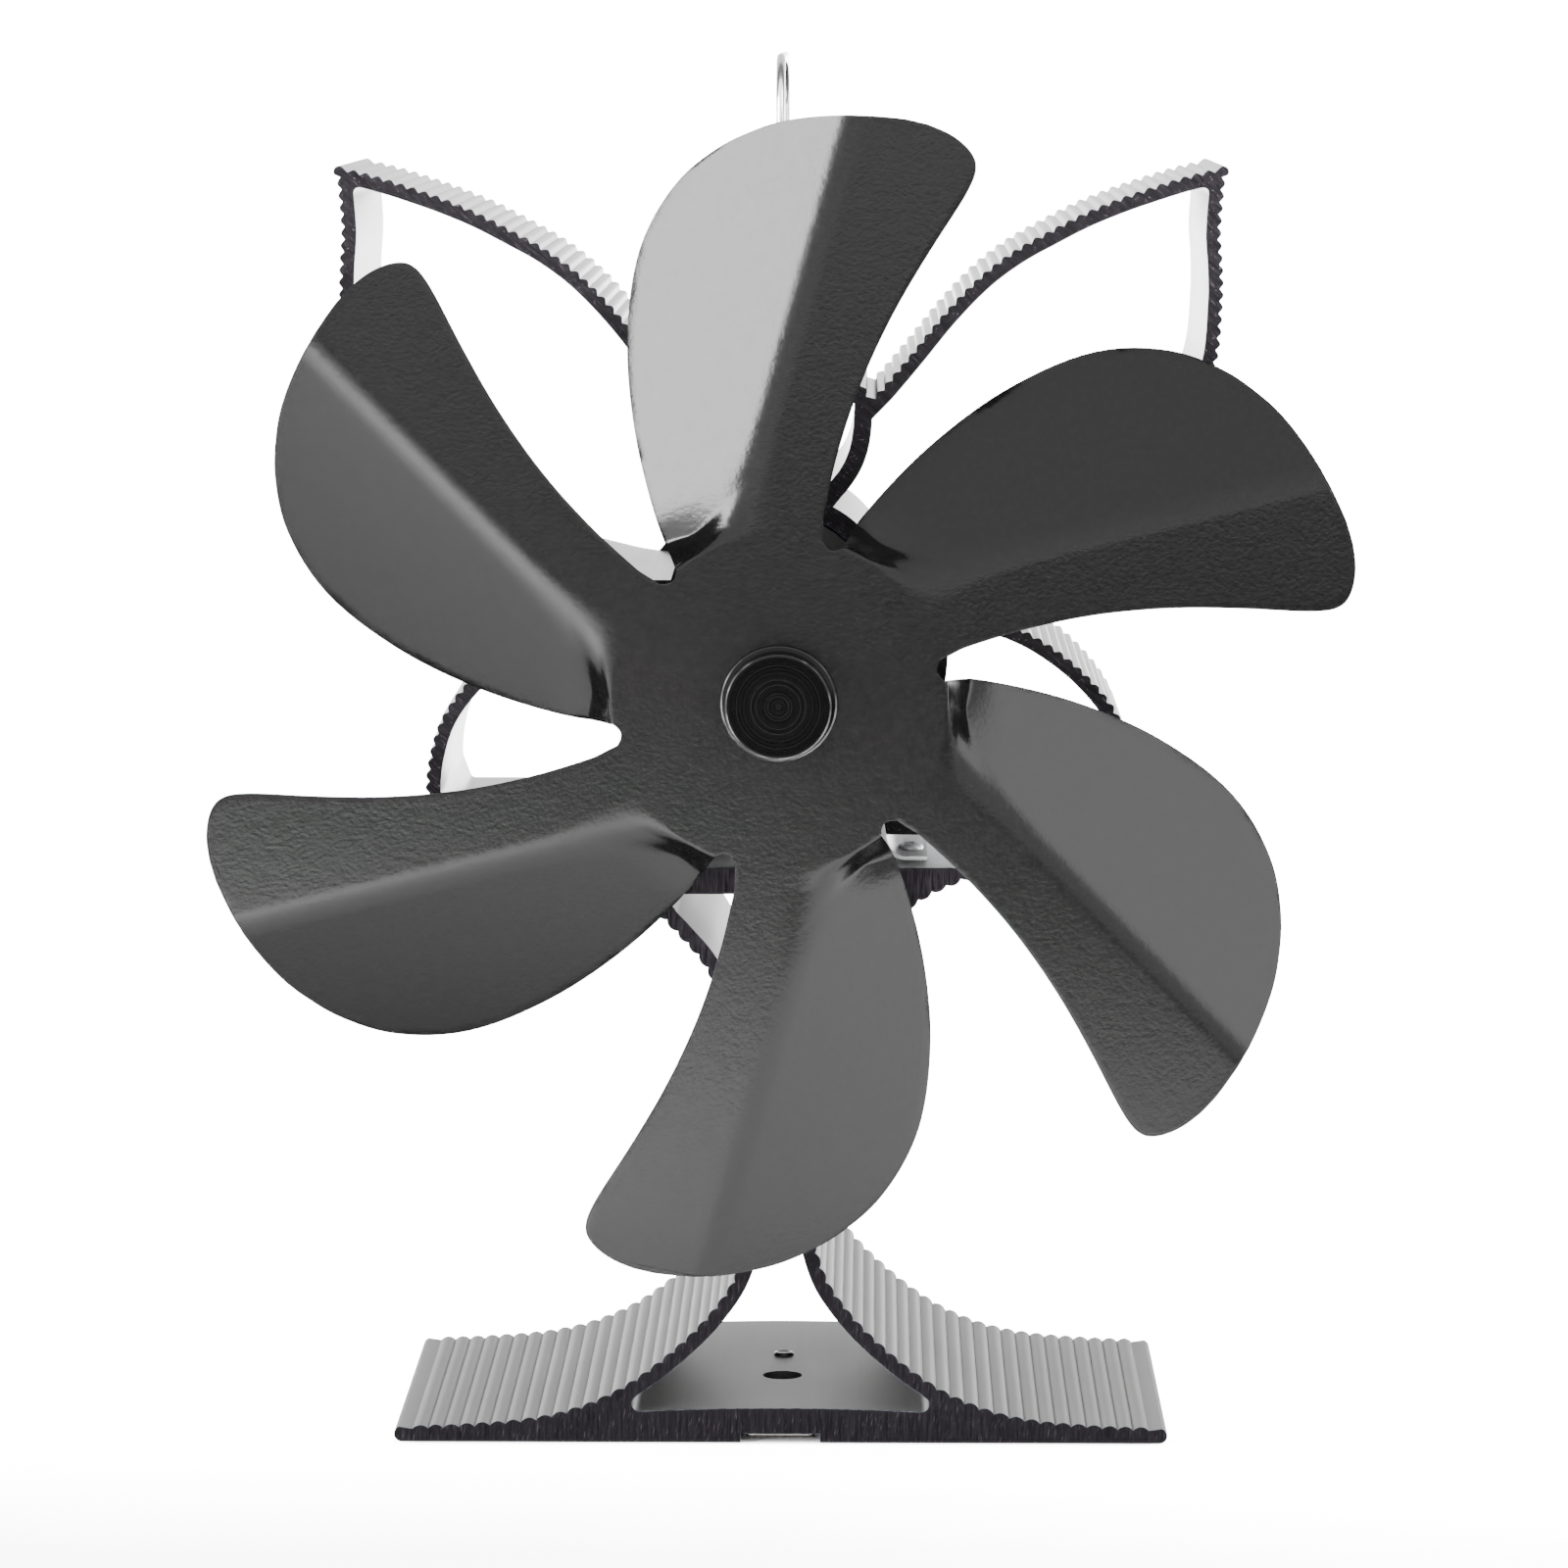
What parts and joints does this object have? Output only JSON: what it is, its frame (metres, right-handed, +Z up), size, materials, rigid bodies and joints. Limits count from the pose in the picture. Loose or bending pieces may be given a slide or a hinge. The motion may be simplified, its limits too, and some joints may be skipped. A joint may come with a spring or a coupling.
{
  "type": "stove fan",
  "caption": "Heat-powered stove fan: ribbed black aluminium base and winged heat sink round a thermoelectric module and small motor, with a folded sheet fan and a wire handle.",
  "frame": {"origin": "middle of the floor area that the whole object covers, on the base's underside", "axes": "+Z up; the fan faces -Y; +X is to the right seen from the front"},
  "size_m": [0.1852, 0.0928, 0.2276],
  "materials": {
    "black_anodised_base": "black anodised, satin, with paler ribbed outside",
    "black_anodised_sink": "black anodised, satin, with paler ribbed outside",
    "satin_black_sheet": "satin black paint with a fine leathery texture",
    "cap_black": "black, turned with fine rings",
    "bracket_sheet": "plain bright sheet",
    "screw_steel": "plated",
    "spring_steel": "hardened",
    "bimetal_strip": "rolled",
    "handle_wire": "polished wire",
    "holder_plastic": "heat-proof black plastic",
    "cover_plastic": "glossy black plastic with a rounded edge",
    "glass_laminate": "glass-fibre laminate",
    "graphite_sheet": "graphite sheet",
    "alumina_ceramic": "white, matt",
    "bismuth_telluride": "dark grey semiconductor",
    "silicone_seal": "white silicone",
    "motor_steel": "plated can",
    "bearing_bronze": "sintered bronze",
    "end_cap_plastic": "pale moulded plastic",
    "ferrite_magnet": "dark ferrite",
    "brush_bronze": "spring bronze",
    "terminal_brass": "tinned brass",
    "shaft_steel": "ground",
    "laminated_core": "stacked steel sheets",
    "enamelled_copper": "enamelled copper wire",
    "commutator_copper": "turned copper",
    "boss_alloy": "turned",
    "red_lead": "silicone insulation",
    "black_lead": "silicone insulation"
  },
  "bodies": {
    "stand": {"base_heat_sink": "black_anodised_base", "strip_rivet": "screw_steel", "lower_thermal_pad": "graphite_sheet", "hot_side_ceramic": "alumina_ceramic", "thermocouple_legs": "bismuth_telluride", "module_seal": "silicone_seal", "cold_side_ceramic": "alumina_ceramic", "upper_thermal_pad": "graphite_sheet", "upper_heat_sink": "black_anodised_sink", "clamp_bracket_left": "bracket_sheet", "clamp_bracket_right": "bracket_sheet", "bracket_screw_left_front": "screw_steel", "bracket_screw_left_rear": "screw_steel", "bracket_screw_right_front": "screw_steel", "bracket_screw_right_rear": "screw_steel", "clamp_screw_front": "screw_steel", "clamp_screw_rear": "screw_steel", "spring_washer_front": "spring_steel", "spring_washer_rear": "spring_steel", "insulating_washer_front": "glass_laminate", "insulating_washer_rear": "glass_laminate", "motor_holder": "holder_plastic", "rear_cover": "cover_plastic", "cover_screw_lower": "screw_steel", "cover_screw_upper": "screw_steel", "motor_can": "motor_steel", "front_bearing": "bearing_bronze", "rear_bearing": "bearing_bronze", "motor_end_cap": "end_cap_plastic", "motor_magnet_left": "ferrite_magnet", "motor_magnet_right": "ferrite_magnet", "motor_terminal_left": "terminal_brass", "motor_terminal_right": "terminal_brass", "motor_brush_left": "brush_bronze", "motor_brush_right": "brush_bronze", "lead_wire_red": "red_lead", "lead_wire_black": "black_lead"},
    "rotor": {"motor_shaft": "shaft_steel", "armature_core": "laminated_core", "armature_windings": "enamelled_copper", "commutator": "commutator_copper", "fan_blades": "satin_black_sheet", "fan_boss": "boss_alloy", "boss_set_screw": "screw_steel", "hub_cap": "cap_black"},
    "handle_wire": {"handle": "handle_wire"},
    "safety_strip": {"bimetal_strip": "bimetal_strip"}
  },
  "joints": [
    {"name": "fan_spin", "type": "hinge", "parent": "stand", "child": "rotor", "pos_m": [0, -0.0401, 0.1245], "axis": [0, 1, 0], "continuous": true},
    {"name": "handle_tilt", "type": "hinge", "parent": "stand", "child": "handle_wire", "pos_m": [0, -0.0171, 0.19522], "axis": [0, 1, 0], "range_deg": [-75, 75]},
    {"name": "strip_flex", "type": "hinge", "parent": "stand", "child": "safety_strip", "pos_m": [0, 0.0184, 0.00095], "axis": [1, 0, 0], "range_deg": [0, 2.5], "stiffness_Nm_per_rad": 0.4, "springref_deg": -0.29}
  ]
}
